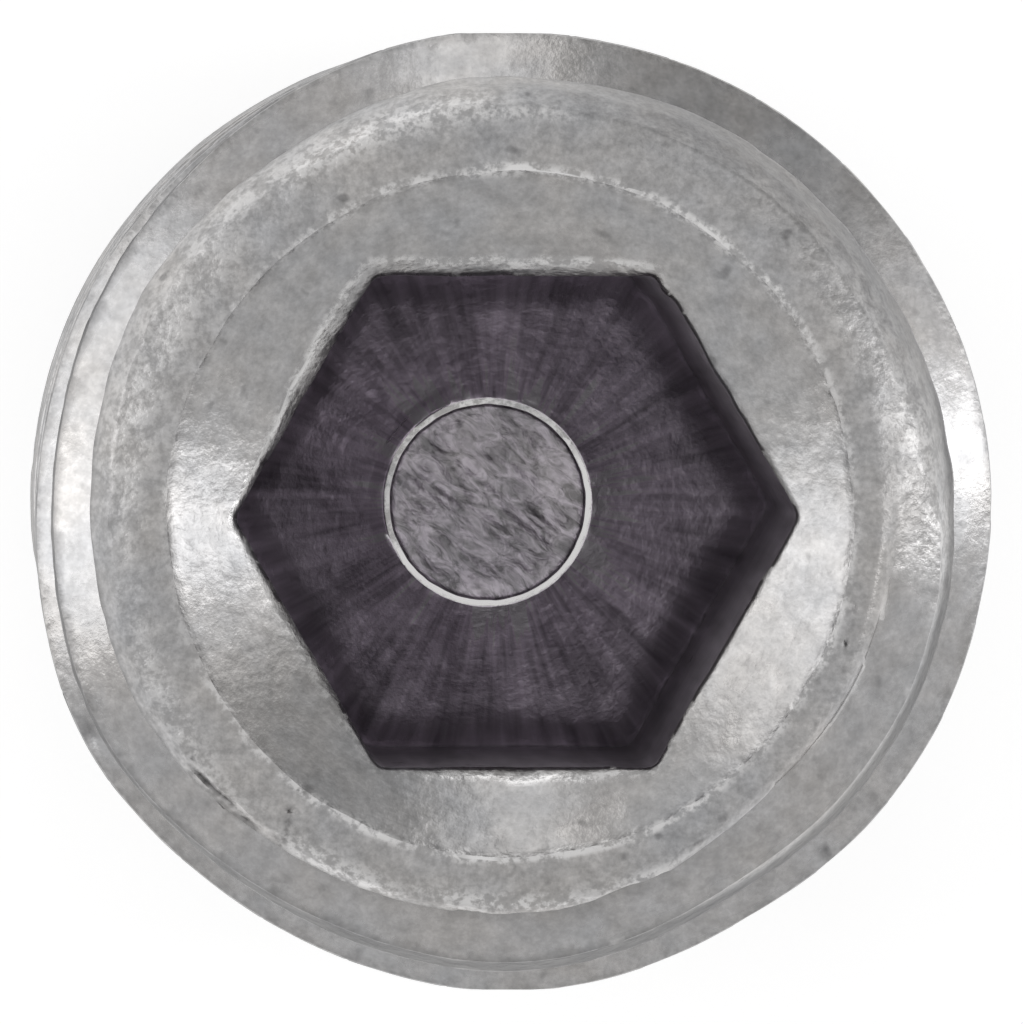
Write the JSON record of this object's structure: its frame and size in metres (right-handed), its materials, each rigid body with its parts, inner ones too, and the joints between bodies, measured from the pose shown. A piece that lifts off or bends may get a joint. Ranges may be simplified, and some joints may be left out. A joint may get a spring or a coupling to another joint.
{
  "type": "locking screw",
  "caption": "Headless locking screw with a hexagon socket, a coarse right-hand thread and a flat point, in plated steel.",
  "frame": {"origin": "centre of the flat point, which the screw stands on", "axes": "+Z along the screw's axis, from the flat point towards the socket end; +X towards a corner of the hexagon"},
  "size_m": [0.008, 0.008, 0.01],
  "materials": {
    "plated_steel": "dull zinc plating over rolled and cold-formed steel"
  },
  "bodies": {
    "root": {"locking_screw": "plated_steel"}
  },
  "joints": []
}
